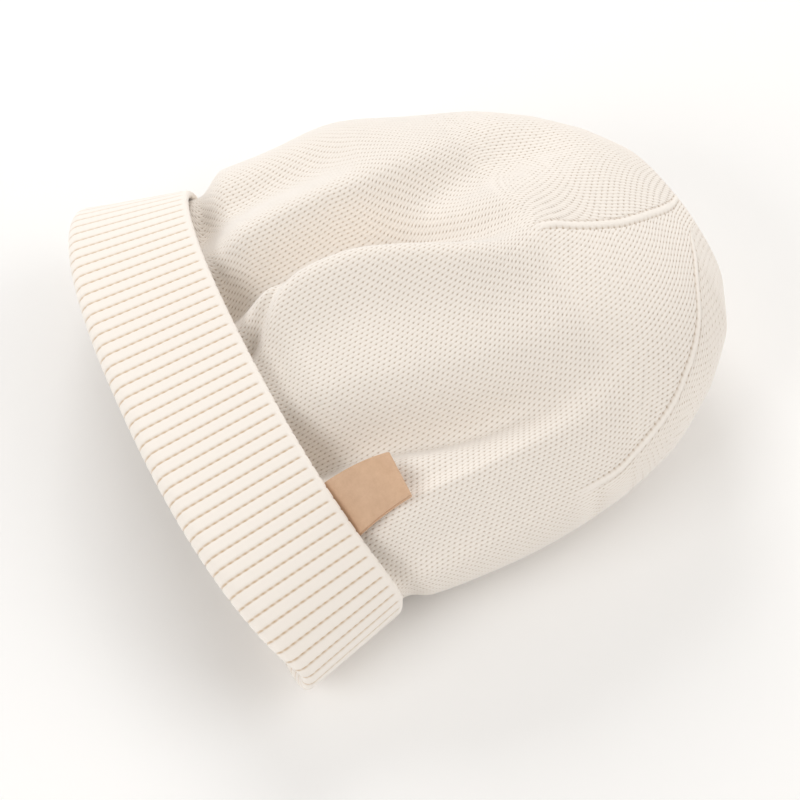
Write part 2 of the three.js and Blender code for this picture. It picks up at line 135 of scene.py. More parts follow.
# Folds of the body: height is above (ridge) or below (valley) the sections' surface, and lean moves
# a ridge sideways, away from the viewer. Each path point is [x, y, strength].
FOLDS = [
    {"name": "far valley", "width": 9, "height": -7, "lean": 0,
     "path": [[-44, 52, 1], [-26, 53, 1], [-10, 50, 0.7], [6, 46, 0]]},
    {"name": "far ridge", "width": 8, "height": 4, "lean": 0,
     "path": [[-46, 36, 1], [-23, 33, 1], [-2, 31, 1], [14, 32, 0.7], [40, 37, 0]]},
    {"name": "deep valley", "width": 8, "height": -13, "lean": 0,
     "path": [[-50, 21, 1], [-36, 21, 1], [-20, 20, 1], [-8, 17.5, 1], [4, 11, 0.9],
              [16, 4, 0.6], [28, -1, 0.3], [40, -4, 0]]},
    {"name": "far hollow", "width": 11, "height": -8, "lean": 0,
     "path": [[-10, 23, 0], [4, 21, 0.7], [18, 20, 1], [34, 23, 0.9], [52, 28, 0.6], [72, 33, 0]]},
    {"name": "middle ridge", "width": 8, "height": 7, "lean": 3,
     "path": [[-54, 8, 0.7], [-42, 6, 1], [-30, 3.5, 1], [-14, 0.5, 1], [-4, -4, 1],
              [9, -10, 0.9], [20, -14, 0.8], [28, -14, 0.6], [38, -9, 0.3], [50, -6, 0]]},
    {"name": "small tuck", "width": 2.6, "height": -5, "lean": 0,
     "path": [[-56, -5, 1], [-47, 0, 1], [-41, 4, 1], [-36, 6.5, 1], [-31, 9, 0.5], [-25, 11, 0]]},
    {"name": "label valley", "width": 7, "height": -13, "lean": 0,
     "path": [[-52, -33, 1], [-40, -37.5, 1], [-24, -43, 1], [-10, -47.5, 1],
              [4, -50.5, 0.9], [20, -51.5, 0.6], [36, -50, 0.3], [52, -48, 0]]},
    {"name": "near ridge", "width": 5, "height": 8, "lean": 0,
     "path": [[-44, -63, 0.7], [-34, -65.5, 1], [-24, -67.5, 1], [-10, -68, 0.9], [6, -67, 0.6],
              [20, -65, 0.3], [34, -63, 0]]},
    {"name": "near valley", "width": 4.5, "height": -6, "lean": 0,
     "path": [[-42, -70, 0.8], [-28, -72.5, 1], [-14, -73.5, 0.8], [0, -75, 0]]},
]
VALLEYS_BEGIN = {"from": -41, "to": -29}  # x of the section where a valley starts and is full
RIDGES_BEGIN = {"from": -34, "to": -20}
UPPER_SIDE = {"from": 0.35, "to": 0.65}  # share of the height where the folds begin
PATH_STEPS = 40  # along a fold

# Where the four decrease lines lie on each ring, as shares of it from its near side over the top.
# Below the lines the same wales run on to the cuff.
LINE_COLUMNS = ["x", "near_high", "upper", "far_low", "near_low"]
LINE_SHARES = np.array([
    [-41.1, 0.000, 0.193, 0.464, 0.730],
    [-29, 0.004, 0.192, 0.464, 0.730],
    [-18, 0.014, 0.191, 0.463, 0.730],
    [-7, 0.020, 0.192, 0.462, 0.730],
    [5, 0.0235, 0.195, 0.461, 0.730],
    [16, 0.0245, 0.198, 0.460, 0.730],
    [28, 0.0225, 0.2105, 0.461, 0.730],
    [34, 0.0230, 0.222, 0.463, 0.730],
    [40, 0.0280, 0.234, 0.466, 0.730],
    [45, 0.0325, 0.234, 0.468, 0.731],
    [50, 0.0380, 0.228, 0.470, 0.732],
    [55, 0.0460, 0.2215, 0.472, 0.733],
    [59, 0.0540, 0.217, 0.474, 0.735],
    [63, 0.0605, 0.213, 0.476, 0.737],
    [67, 0.0700, 0.211, 0.478, 0.740],
    [71, 0.0840, 0.2095, 0.481, 0.743],
    [76, 0.1070, 0.209, 0.485, 0.748],
    [80, 0.1265, 0.209, 0.489, 0.752],
    [83, 0.1440, 0.211, 0.493, 0.756],
    [88, 0.1560, 0.220, 0.502, 0.762],
    [CROWN_END, 0.1500, 0.260, 0.520, 0.780],
])
# x over which each line's rope rises, and over which it sinks again
ROPE_SPANS = {
    "near_high": {"begin": 18, "full": 34, "fade": 80, "end": 87},
    "upper": {"begin": 39, "full": 44, "fade": 87, "end": 94},
    "far_low": {"begin": 37, "full": 43, "fade": 87, "end": 94},
    "near_low": {"begin": 37, "full": 43, "fade": 87, "end": 94},
}

# The panels between the lines: their wales, and the wale that runs on to the crown's middle
PANELS = {
    "main": {"left": "near_high", "right": "upper", "wales": 29, "last": 12},
    "far": {"left": "upper", "right": "far_low", "wales": 43, "last": 21},
    "under": {"left": "far_low", "right": "near_low", "wales": 42, "last": 21},
    "near": {"left": "near_low", "right": "near_high", "wales": 44, "last": 24},
}

# The camera, in degrees, and in metres apart from its sensor's width in millimetres
CAMERA = {
    "azimuth": -23, "elevation": 54, "distance": 1.1, "sensor": 36,
    "width": 0.24,  # of the picture at the cap
}
# The studio, in metres: the floor reaches this far each way, and the world's colour is linear
FLOOR = {"reach": 4, "roughness": 0.9, "colour": "#fdfdfd"}
WORLD = {"colour": (1, 0.965, 0.92, 1), "strength": 0.58}
LIGHTS = [
    {"name": "back", "at": (0.2, 1.3, 0.9), "size": 0.8, "watts": 9.6},
    {"name": "left", "at": (-1.2, -0.3, 0.9), "size": 0.8, "watts": 6.0},
    {"name": "fill", "at": (1.2, -0.6, 1.0), "size": 1.6, "watts": 7.4},
]


def ease(start, end, value):
    """From 0 at start to 1 at end, smoothly."""
    share = np.clip((value - start) / (end - start), 0, 1)
    return share * share * (3 - 2 * share)


def mix(a, b, share):
    """From a at a share of 0 to b at 1, evenly."""
    return a + (b - a) * share


def curve_rows(table, start, share):
    """Rows between a table's rows, on a Catmull-Rom curve through all of them."""
    padded = np.vstack([2 * table[0] - table[1], table, 2 * table[-1] - table[-2]])
    before, first, last, after = (padded[start + k] for k in range(4))
    bend = 2 * before - 5 * first + 4 * last - after
    twist = -before + 3 * first - 3 * last + after
    return 0.5 * (2 * first + (last - before) * share + bend * share**2 + twist * share**3)


def smooth_rows(table, xs):
    """A table's rows at several x, smooth through all of its own rows."""
    places = table[:, 0]
    start = np.clip(np.searchsorted(places, xs, side="right") - 1, 0, len(places) - 2)
    share = ((xs - places[start]) / (places[start + 1] - places[start]))[:, None]
    rows = curve_rows(table, start, share)
    rows[:, 0] = xs
    return rows


def smooth_path(points):
    """A fold's path as a curve of short steps."""
    points = np.array(points, float)
    places = np.linspace(0, len(points) - 1, PATH_STEPS + 1)
    start = np.minimum(places.astype(int), len(points) - 2)
    return curve_rows(points, start, (places - start)[:, None])


def round_power(value, roundness):
    """A sine or cosine made squarer by a roundness above 2, its sign kept."""
    return np.sign(value) * np.abs(value) ** (2 / roundness)


def section_rings(rows):
    """Closed rings of points, from the near side over the top to the far side and back below."""
    section = dict(zip(RING_COLUMNS, rows.T[:, :, None]))
    middle = (section["near"] + section["far"]) / 2
    half_width = (section["far"] - section["near"]) / 2
    up = np.sin(RING_ANGLES)[None, :]
    roundness = np.where(up > 0, section["roundTop"], section["roundLow"])
    reach = np.where(up > 0, section["top"] - section["side"], section["side"] - section["low"])
    y = middle - half_width * round_power(np.cos(RING_ANGLES)[None, :], roundness)
    z = section["side"] + reach * round_power(up, roundness)
    bowed = section["bow"] * np.maximum(up, 0) ** BOW_ROUNDNESS
    x = section["x"] - bowed - section["skew"] * (y - middle)
    return np.stack([x, y, np.maximum(z, np.maximum(section["low"], 0))], axis=-1)


def unit(vectors):
    """Vectors at a length of 1, and those without length left without."""
    return vectors / np.maximum(np.linalg.norm(vectors, axis=-1, keepdims=True), NO_LENGTH)


def ring_normals(rings, reach):
    """Outward normals in the plane across the cap."""
    along = np.roll(rings, -reach, axis=1) - np.roll(rings, reach, axis=1)
    return unit(np.stack([np.zeros(along.shape[:2]), -along[..., 2], along[..., 1]], axis=-1))


def spread_rings(rings, shares):
    """Rings with their points at given shares of their length round, and those lengths."""
    points = np.empty((len(rings), len(shares), 3))
    around = np.empty(len(rings))
    for i, ring in enumerate(rings):
        closed = np.vstack([ring, ring[:1]])
        steps = np.linalg.norm(np.diff(closed, axis=0), axis=1)
        lengths = np.concatenate([[0], np.cumsum(steps)])
        around[i] = lengths[-1]
        for axis in range(3):
            points[i, :, axis] = np.interp(shares * around[i], lengths, closed[:, axis])
    return points, around


def cuff_rings(along):
    """The cuff's outer rings at several places along it, from the rim."""
    share = (along / CUFF_HEIGHT)[:, None]
    return section_rings(mix(CUFF_SECTIONS[0], CUFF_SECTIONS[1], share))


def plain_body_rings(xs):
    """The body's rings before its folds: held in the cuff's shape under the cuff, then their own."""
    own = section_rings(smooth_rows(BODY_SECTIONS, np.maximum(xs, BODY_SECTIONS[0, 0])))
    edge_x = RIM_X + CUFF_HEIGHT
    held = cuff_rings(np.minimum(xs, edge_x + BODY_BLEND) - RIM_X)
    stands_off = ease(STANDS_OFF["from"], STANDS_OFF["to"], np.sin(RING_ANGLES))[None, :]
    edge_depth = mix(EDGE_DEPTH["round"], EDGE_DEPTH["top"], stands_off)
    to_edge = ease(RIM_X + INNER_LEAF_END, edge_x, xs)[:, None]
    depth = mix(JOIN_DEPTH, edge_depth, to_edge)[..., None]
    inset = held - ring_normals(held, NORMAL_REACH) * depth
    return mix(inset, own, ease(edge_x, edge_x + BODY_BLEND, xs)[:, None, None])


def nearest_on_path(path, points):
    """Distance to a path, the path's strength at the nearest place, and its side direction."""
    best = np.full(len(points), np.inf)
    strength = np.zeros(len(points))
    side = np.zeros((len(points), 2))
    for start, end in zip(path[:-1], path[1:]):
        along = end[:2] - start[:2]
        to = points[:, :2] - start[:2]
        share = np.clip(to @ along / (along @ along), 0, 1)
        distance = np.linalg.norm(to - share[:, None] * along, axis=1)
        closer = distance < best
        best[closer] = distance[closer]
        strength[closer] = mix(start[2], end[2], share[closer])
        side[closer] = np.array([-along[1], along[0]]) / np.linalg.norm(along)
    return best, strength, side


def folded(rings, xs):
    """Moves the upper points of the body's rings into the ridges and valleys."""
    top = rings[..., 2].max(axis=1, keepdims=True)
    upper = ease(UPPER_SIDE["from"], UPPER_SIDE["to"], rings[..., 2] / top)
    valley_gain = ease(VALLEYS_BEGIN["from"], VALLEYS_BEGIN["to"], xs)[:, None]
    ridge_gain = ease(RIDGES_BEGIN["from"], RIDGES_BEGIN["to"], xs)[:, None]
    flat = rings.reshape(-1, 3)
    moved = rings.copy()
    for fold in FOLDS:
        distance, strength, side = nearest_on_path(smooth_path(fold["path"]), flat)
        gain = (np.exp(-((distance / fold["width"]) ** 2)) * strength).reshape(upper.shape)
        gain = gain * upper * (ridge_gain if fold["height"] > 0 else valley_gain)
        moved[..., 2] += fold["height"] * gain
        moved[..., :2] += fold["lean"] * gain[..., None] * side.reshape(*upper.shape, 2)
    return moved


class BodySurface:
    """The body's outer surface by row and by share of the ring, with its lines and courses."""

    def __init__(self):
        self.x = np.concatenate([
            np.arange(JERSEY_START, ROWS["crown_start"], ROWS["body_step"]),
            np.arange(ROWS["crown_start"], ROWS["tip_start"], ROWS["crown_step"]),
            np.linspace(ROWS["tip_start"], CROWN_END, ROWS["tip_count"]),
        ])
        rings = folded(plain_body_rings(self.x), self.x)
        self.points, self.around = spread_rings(rings, np.arange(AROUND) / AROUND)
        tip = rings[-1].mean(axis=0) + [TIP_BULGE, 0, 0]
        self.x = np.append(self.x, CROWN_END + TIP_BULGE)
        self.points = np.concatenate([self.points, np.tile(tip, (1, AROUND, 1))])
        self.around = np.append(self.around, TIP_AROUND)
        line_rows = smooth_rows(LINE_SHARES, np.minimum(self.x, CROWN_END))
        self.lines = dict(zip(LINE_COLUMNS, line_rows.T))
        self.set_normals()
        self.set_courses()

    def set_normals(self):
        around = np.roll(self.points, -1, axis=1) - np.roll(self.points, 1, axis=1)
        along = np.gradient(self.points, axis=0)
        normals = unit(np.cross(along, around))
        normals[-1] = [1, 0, 0]
        self.normals = normals
        self.tangents = unit(around)

    def set_courses(self):
        """Counts the courses from the cuff along the cloth, evened out round the cap."""
        steps = np.diff(self.points, axis=0)
        tangents = self.tangents[:-1]
        across = np.sum(steps * tangents, axis=-1, keepdims=True) * tangents
        lengths = np.linalg.norm(steps - across, axis=-1)
        near = np.minimum(np.arange(AROUND), AROUND - np.arange(AROUND))
        weights = np.exp(-((near / EVENED) ** 2))
        spectrum = np.fft.rfft(lengths, axis=1) * np.fft.rfft(weights / weights.sum())
        lengths = np.fft.irfft(spectrum, AROUND, axis=1)
        self.courses = np.vstack([np.zeros(AROUND), np.cumsum(lengths, axis=0)]) / COURSE
        fine_rows = round(self.courses[-1].mean() * STITCH_MESH["rows"])
        self.mesh_rows = fine_rows // INNER_SHARE * INNER_SHARE

    def sample(self, grid, rows, shares):
        """A grid's values at fractional rows and shares of the ring."""
        rows = np.clip(rows, 0, len(self.x) - 1 - ROW_MARGIN)
        places = (shares % 1) * AROUND
        i = rows.astype(int)
        j = places.astype(int) % AROUND
        next_j = (j + 1) % AROUND
        down = rows - i
        right = places - np.floor(places)
        if grid.ndim == 3:
            down = down[..., None]
            right = right[..., None]
        upper = mix(grid[i, j], grid[i, next_j], right)
        lower = mix(grid[i + 1, j], grid[i + 1, next_j], right)
        return mix(upper, lower, down)


body = BodySurface()


def stitch_depth(wale, course):
    """How deep the knitted surface lies below the yarn's crests: gaps in each stitch and beside it."""
    across = np.cos(2 * np.pi * wale)
    along = np.cos(2 * np.pi * course)
    groove = across**GROOVE_POWER
    gap = -np.minimum(across * along, 0) * groove
    return GAP_DEPTH * gap + LEG_GROOVE * groove


def linear(colour):
    """An sRGB hex colour as linear values."""
    values = [int(colour[i:i + 2], 16) / 255 for i in (1, 3, 5)]
    turned = [v / 12.92 if v <= 0.04045 else ((v + 0.055) / 1.055) ** 2.4 for v in values]
    return (*turned, 1)


def mesh_grid(name, points, uv, painted_groove_shade=None):
    """A mesh of a grid of points in millimetres, with its stitch coordinates and a mask of its
    grooves, which get painted shade.
    """
    rows, columns = points.shape[:2]
    half_side = 0.5
    grid = bmesh.new()
    bmesh.ops.create_grid(grid, x_segments=columns - 1, y_segments=rows - 1, size=half_side)
    mesh = bpy.data.meshes.new(name)
    grid.to_mesh(mesh)
    grid.free()
    flat = np.empty(len(mesh.vertices) * 3)
    mesh.vertices.foreach_get("co", flat)
    flat = flat.reshape(-1, 3) + half_side
    row = np.rint(flat[:, 1] * (rows - 1)).astype(int)
    column = np.rint(flat[:, 0] * (columns - 1)).astype(int)
    placed = (points[row, column] + SHIFT) * MM
    mesh.vertices.foreach_set("co", placed.ravel())
    if painted_groove_shade is not None:
        attribute = mesh.attributes.new("painted_groove_shade", "FLOAT", "POINT")
        attribute.data.foreach_set("value", painted_groove_shade[row, column])
    corner_vertex = np.empty(len(mesh.loops), int)
    mesh.loops.foreach_get("vertex_index", corner_vertex)
    corner_row = row[corner_vertex]
    corner_column = column[corner_vertex].reshape(-1, 4)
    face_column = np.repeat(corner_column.min(axis=1), 4)
    side = corner_column.ravel() - face_column
    layer = mesh.uv_layers.new(name="stitches")
    layer.data.foreach_set("uv", uv[corner_row, face_column, side].ravel())
    mesh.update()
    return mesh


def corner_uv(across, along):
    """The UV of both ends of each face column, row by row."""
    uv = np.empty((across.shape[0], across.shape[1] - 1, 2, 2))
    uv[..., 0, 0] = across[:, :-1]
    uv[..., 1, 0] = across[:, 1:]
    uv[..., 0, 1] = along[:, :-1]
    uv[..., 1, 1] = along[:, 1:]
    return uv


def rope_gain(line, x):
    """How far a decrease line's rope has risen at x, from 0 to 1."""
    span = ROPE_SPANS[line]
    return ease(span["begin"], span["full"], x) * (1 - ease(span["fade"], span["end"], x))


def panel_places(name):
    """A panel's grid: its rows and shares on the body, its wales and courses, and its ropes' gains."""
    panel = PANELS[name]
    wales = panel["wales"]
    columns = np.arange(wales * STITCH_MESH["columns"] + 1) / STITCH_MESH["columns"]
    base_rows = np.arange(len(body.x))
    left_line = body.lines[panel["left"]]
    right_line = body.lines[panel["right"]]
    right_line = right_line + (right_line < left_line)

    def across(rows):
        x = np.interp(rows, base_rows, body.x)
        around = np.interp(rows, base_rows, body.around)
        left = np.interp(rows, base_rows, left_line)
        span = (np.interp(rows, base_rows, right_line) - left) * around
        left_gain = rope_gain(panel["left"], x)
        right_gain = rope_gain(panel["right"], x)
        rope = np.minimum(mix(span / wales, ROPE["width"], right_gain), span * ROPE["most"])
        plain = columns / (wales - 1) * (span - rope)
        in_rope = span - (wales - columns) * rope
        distance = np.where(columns <= wales - 1, plain, in_rope)
        turned = ease(FULL_WALE["from"], body.x[-1], x)
        last_place = mix(panel["last"] / wales, 0.5, turned) * span
        width = mix(span / wales, FULL_WALE["width"], ease(FULL_WALE["from"], FULL_WALE["to"], x))
        wale = panel["last"] + (distance - last_place) / np.maximum(width, NO_WIDTH)
        return left + distance / np.maximum(around, NO_WIDTH), wale, left_gain, right_gain

    all_rows = np.repeat(base_rows[:, None].astype(float), len(columns), axis=1)
    courses = body.sample(body.courses, all_rows, across(all_rows)[0])
    whole = body.mesh_rows / STITCH_MESH["rows"]
    targets = np.linspace(0, whole, body.mesh_rows + 1)[:, None]
    wanted = targets + (courses[-1] - whole) * (targets / whole) ** SLACK_POWER
    rows = np.empty(wanted.shape)
    for j in range(len(columns)):
        rows[:, j] = np.interp(wanted[:, j], courses[:, j], base_rows)
    rows[-1] = base_rows[-1]
    shares, wale, left_gain, right_gain = across(rows)
    return rows, shares, wale, np.broadcast_to(targets, wale.shape), columns, left_gain, right_gain


def panel_meshes(name):
    """The stitched outer side of a panel, and its plain inner side."""
    rows, shares, wale, course, columns, left_gain, right_gain = panel_places(name)
    points = body.sample(body.points, rows, shares)
    normals = unit(body.sample(body.normals, rows, shares))
    rope_foot = columns == PANELS[name]["wales"] - 1
    in_rope = np.clip(columns - (PANELS[name]["wales"] - 1), 0, 1)
    rope = np.minimum(in_rope, 1 - in_rope)
    groove = stitch_depth(0, course) + ROPE["groove"]
    rope_depth = np.where(rope > 0, -2 * ROPE["rise"] * np.sqrt(rope), groove)
    depth = stitch_depth(wale, course)
    depth = np.where(in_rope > 0, mix(stitch_depth(columns, course), rope_depth, right_gain), depth)
    depth = np.where(rope_foot, mix(depth, groove, right_gain), depth)
    depth = np.where(columns == 0, mix(stitch_depth(0, course), groove, left_gain), depth)
    outer = points + normals * (CREST - depth)[..., None]
    outer[..., 2] = np.maximum(outer[..., 2], 0)
    rope_wale = mix(rope, rope / 2, right_gain)
    starts = np.where(rope_foot | (in_rope > 0), rope_wale, wale)
    ends = np.where(in_rope > 0, rope_wale, wale)
    uv = corner_uv(wale, course)
    uv[..., 0, 0] = starts[:, :-1]
    uv[..., 1, 0] = ends[:, 1:]
    # Painted shade: the grooves beside a rope are marked to take the darker gap colour
    painted_groove_shade = np.where(rope_foot | (columns == columns[-1]), right_gain, 0)
    painted_groove_shade = np.where(columns == 0, left_gain, painted_groove_shade)
    outer_mesh = mesh_grid(name, outer, uv, painted_groove_shade)
    coarse = (slice(None, None, INNER_SHARE), slice(None, None, INNER_SHARE))
    inner = (points - normals * JERSEY_WALL)[coarse]
    inner_uv = corner_uv(wale[coarse], course[coarse])
    inner_mesh = mesh_grid(name + "_inner", inner, inner_uv, painted_groove_shade[coarse])
    return outer_mesh, inner_mesh


def piece_from(name, mesh):
    """Links a mesh into the scene as an object."""
    piece = bpy.data.objects.new(name, mesh)
    bpy.context.scene.collection.objects.link(piece)
    return piece


def join_borders(shape):
    """Makes the border points of a shape that lie in one place one."""
    borders = [vertex for vertex in shape.verts if vertex.is_boundary]
    bmesh.ops.remove_doubles(shape, verts=borders, dist=MERGE)


def closed_slab(name, outer_mesh, inner_mesh):
    """One closed piece from an outer and an inner side, joined all round their borders."""
    slab = bmesh.new()
    slab.from_mesh(outer_mesh)
    bmesh.ops.reverse_faces(slab, faces=slab.faces)
    slab.from_mesh(inner_mesh)
    join_borders(slab)
    edges = [edge for edge in slab.edges if edge.is_boundary]
    for edge in edges:
        edge.smooth = False
    bmesh.ops.bridge_loops(slab, edges=edges)
    for face in slab.faces:
        face.smooth = True
    slab.to_mesh(outer_mesh)
    slab.free()
    bpy.data.meshes.remove(inner_mesh)
    return piece_from(name, outer_mesh)


def make_jersey():
    """The jersey's pieces, one for each panel."""
    return {name: closed_slab("jersey_" + name, *panel_meshes(name)) for name in PANELS}


# The cuff's profile: places along it and depths below its outer surface, the way each faces, and
# how far each is ribbed or swells with the lip
PROFILE_COLUMNS = ["along", "depth", "face_along", "face_depth", "ribbed", "lip"]
ALONG, DEPTH, FACE_ALONG, FACE_DEPTH, RIBBED, LIP = range(len(PROFILE_COLUMNS))
PLACE = slice(ALONG, DEPTH + 1)
FACE = slice(FACE_ALONG, FACE_DEPTH + 1)


def straight(alongs, depths, face, ribbed=0):
    """A straight stretch of the cuff's profile that faces one way."""
    rows = np.zeros((len(alongs), len(PROFILE_COLUMNS)))
    rows[:, ALONG] = alongs
    rows[:, DEPTH] = depths
    rows[:, FACE] = face
    rows[:, RIBBED] = ribbed
    return rows


def arc(centre, radius, start, end, steps, ribbed=0):
    """A round stretch of the cuff's profile, with angles in degrees from the outer side."""
    angles = np.radians(np.linspace(start, end, steps + 1))
    rows = np.zeros((len(angles), len(PROFILE_COLUMNS)))
    rows[:, FACE_ALONG] = -np.sin(angles)
    rows[:, FACE_DEPTH] = -np.cos(angles)
    rows[:, PLACE] = np.array(centre) + radius * rows[:, FACE]
    rows[:, RIBBED] = ribbed
    return rows


def cuff_profile():
    """The folded band's section, from the lip over the outer leaf, the rim and the inner leaf back."""
    rim_radius = CUFF_LEAF + CUFF_SLIT / 2
    lip_radius = CUFF_LEAF / 2
    lip = CUFF_HEIGHT - lip_radius
    slit_start = rim_radius + SLIT_INSET
    join_depth = JOIN_DEPTH - JOIN_STEP
    outer = np.arange(lip, rim_radius, -RIB_COURSE / RIB_ROWS)
    inner = np.arange(rim_radius, INNER_LEAF_END, CUFF_STEPS["inner"])
    slit = np.arange(INNER_LEAF_END, slit_start, -CUFF_STEPS["slit"])
    above_slit = np.arange(slit_start + CUFF_STEPS["slit"], lip, CUFF_STEPS["above_slit"])
    inner_ends = [2 * rim_radius, join_depth + CUFF_LEAF]
    inner_depth = np.interp(inner, [rim_radius, INNER_LEAF_END], inner_ends)
    slit_depth = np.interp(slit, [slit_start, INNER_LEAF_END], [CUFF_LEAF + CUFF_SLIT, join_depth])
    lip_arc = arc([lip, lip_radius], lip_radius, 180, 360, ARC_STEPS["lip"])[:-1]
    lip_arc[:, LIP] = ease(0, LIP_SWELL, np.arange(len(lip_arc)))
    outer_leaf = straight(outer, 0, [0, -1], ribbed=1)
    outer_leaf[:, LIP] = 1
    parts = [
        outer_leaf,
        arc([rim_radius, rim_radius], rim_radius, 0, 180, ARC_STEPS["rim"], ribbed=1)[:-1],
        straight(inner, inner_depth, [0, 1], ribbed=1),
        straight([INNER_LEAF_END], [join_depth + CUFF_LEAF], [1, 0]),
        straight(slit, slit_depth, [0, -1]),
        arc([slit_start, rim_radius], CUFF_SLIT / 2, 180, 0, ARC_STEPS["slit"]),
        straight(above_slit, CUFF_LEAF, [0, 1]),
        lip_arc,
    ]
    return np.vstack(parts)


def rib_groove(rib, course):
    """The narrow groove between two broad ribs, 1 at its deepest, and beaded along the courses."""
    beside = np.abs((rib + 0.5) % 1 - 0.5)
    bead = 1 - RIB_BEAD * (0.5 + 0.5 * np.cos(2 * np.pi * course))
    return np.exp(-((beside / RIB_GROOVE) ** 2)) * bead


def make_cuff():
    """The ribbed band, its profile carried round the cap."""
    profile = cuff_profile()
    profile = np.vstack([profile, profile[:1]])
    along, depth, face_along, face_depth, ribbed, lip = profile.T[:, :, None]
    columns = RIBS * RIB_COLUMNS
    points = spread_rings(cuff_rings(profile[:, ALONG]), np.arange(columns + 1) / columns)[0]
    normals = ring_normals(points[:, :-1], RIB_COLUMNS)
    normals = np.concatenate([normals, normals[:, :1]], axis=1)
    places = profile[:, PLACE]
    steps = np.linalg.norm(np.diff(places, axis=0, prepend=places[:1]), axis=1)
    course = np.repeat(np.cumsum(steps)[:, None] / RIB_COURSE, columns + 1, axis=1)
    rib = np.repeat((np.arange(columns + 1) / RIB_COLUMNS + 0.5)[None], len(profile), axis=0)
    selvedge = CUFF_HEIGHT - SELVEDGE["height"]
    ribs_end = ease(selvedge - SELVEDGE["before"], selvedge + SELVEDGE["after"], along)
    grooved = ribbed * (1 - ribs_end)
    groove = rib_groove(rib, course)
    height = mix(LIP_HEIGHT, 1 - groove, grooved)
    lift = np.maximum(ribbed, lip) * RIB_RISE * (2 * height - 1)
    placed = points - normals * (depth + lift * face_depth)[..., None]
    placed[..., 0] += lift * face_along
    placed[..., 0] -= LIP_SCALLOP * groove * ease(selvedge, CUFF_HEIGHT, along)
    placed[..., 2] = np.maximum(placed[..., 2], 0)
    # Painted shade: the rib grooves are marked to take a darker, warmer colour
    mesh = mesh_grid("rib_cuff", placed, corner_uv(rib, course), grooved * groove)
    band = bmesh.new()
    band.from_mesh(mesh)
    join_borders(band)
    for face in band.faces:
        face.smooth = True
    band.to_mesh(mesh)
    band.free()
    return piece_from("rib_cuff", mesh)


def label_place(along, across):
    """The place in plan of a point of the label, from its root and from its far side."""
    x = LABEL_ROOT["x"] + along + LABEL["slant"] * across * (1 - along / LABEL["length"])
    return x, LABEL_ROOT["y"] - across - LABEL["turn"] * along


def label_seat(pieces):
    """A function that gives the underside of the label, which lies just clear of the body."""
    bpy.context.view_layer.update()

    def body_height(x, y):
        start = (np.array([x, y, LABEL_PROBE["above"]]) + SHIFT) * MM
        hits = [piece.ray_cast(Vector(start), Vector((0, 0, -1))) for piece in pieces]
        return max(hit[1].z for hit in hits if hit[0]) / MM

    stations = np.linspace(0, LABEL["length"], LABEL_PROBE["along"])
    width = LABEL["width"]
    past = LABEL_PROBE["past"]
    beside = LABEL_PROBE["beside"]
    edges = []
    for station in stations:
        far = body_height(*label_place(station, 0))
        near = body_height(*label_place(station, width))
        lift = 0
        for across in np.linspace(-past, width + past, LABEL_PROBE["across"]):
            for offset in (-beside, 0, beside):
                below = body_height(*label_place(station + offset, across))
                lift = max(lift, below - mix(far, near, across / width))
        edges.append([far + lift, near + lift])
    edges = np.array(edges)
    rows = np.polynomial.polynomial.polyfit(stations, edges, LABEL_BEND)
    smooth = np.polynomial.polynomial.polyval(stations, rows).T
    smooth += np.maximum(edges - smooth, 0).max() + LABEL["clearance"]

    def underside(along, across):
        x, y = label_place(along, across)
        far = np.interp(along, stations, smooth[:, 0])
        near = np.interp(along, stations, smooth[:, 1])
        return np.stack(np.broadcast_arrays(x, y, mix(far, near, across / width)), axis=-1)

    return underside


def make_label(pieces):
    """The label, one strip folded double, which lies along the body's pieces below it."""
    leather = LABEL["leather"]
    turn = (leather + LABEL["slit"]) / 2
    straight_end = LABEL["length"] - turn - leather / 2
    there = np.linspace(0, straight_end, LABEL_MESH["along"])
    angles = np.radians(np.linspace(-90, 90, LABEL_MESH["fold"]))[1:-1]
    along = np.concatenate([there, straight_end + turn * np.cos(angles), there[::-1]])
    above = np.concatenate([0 * there, turn + turn * np.sin(angles), 0 * there + 2 * turn])
    across = np.linspace(0, LABEL["width"], LABEL_MESH["across"])
    underside = label_seat(pieces)
    points = underside(along[:, None], across[None, :])
    points[..., 2] += (above + leather / 2)[:, None]
    path = np.repeat(np.arange(len(along))[:, None] * 1.0, len(across), axis=1)
    widths = np.repeat(across[None], len(along), axis=0)
    mesh = mesh_grid("fold_label", points, corner_uv(widths, path))
    mesh.shade_smooth()
    label = piece_from("fold_label", mesh)
    solid = label.modifiers.new("leather", "SOLIDIFY")
    solid.thickness = leather * MM
    solid.offset = 0
    edge = label.modifiers.new("cut edges", "BEVEL")
    edge.width = LABEL["bevel"] * MM
    edge.segments = LABEL_MESH["bevel"]
    edge.limit_method = "ANGLE"
    return label


def add_node(tree, kind, links=None, **settings):
    """Adds a node with its settings. links gives its inputs: a value, or another node's output."""
    node = tree.nodes.new(kind)
    for name, value in settings.items():
        setattr(node, name, value)
    for name, value in (links or {}).items():
        socket = node.inputs[name]
        if isinstance(value, bpy.types.NodeSocket):
            tree.links.new(value, socket)
        else:
            socket.default_value = value
    return node


def new_material(name, roughness, fuzz=0.0):
    """A material with its shader. The fuzz is a halo of loose fibres, seen along the surface."""
    material = bpy.data.materials.new(name)
    material.use_nodes = True
    tree = material.node_tree
    shader = tree.nodes["Principled BSDF"]
    shader.inputs["Roughness"].default_value = roughness
    shader.inputs["Sheen Weight"].default_value = fuzz
    shader.inputs["Sheen Roughness"].default_value = 0.5
    return material, tree, shader


# A Mix node has a set of sockets for each type of data, and these are the colours'
MIX_FROM, MIX_TO, MIX_RESULT = 6, 7, 2

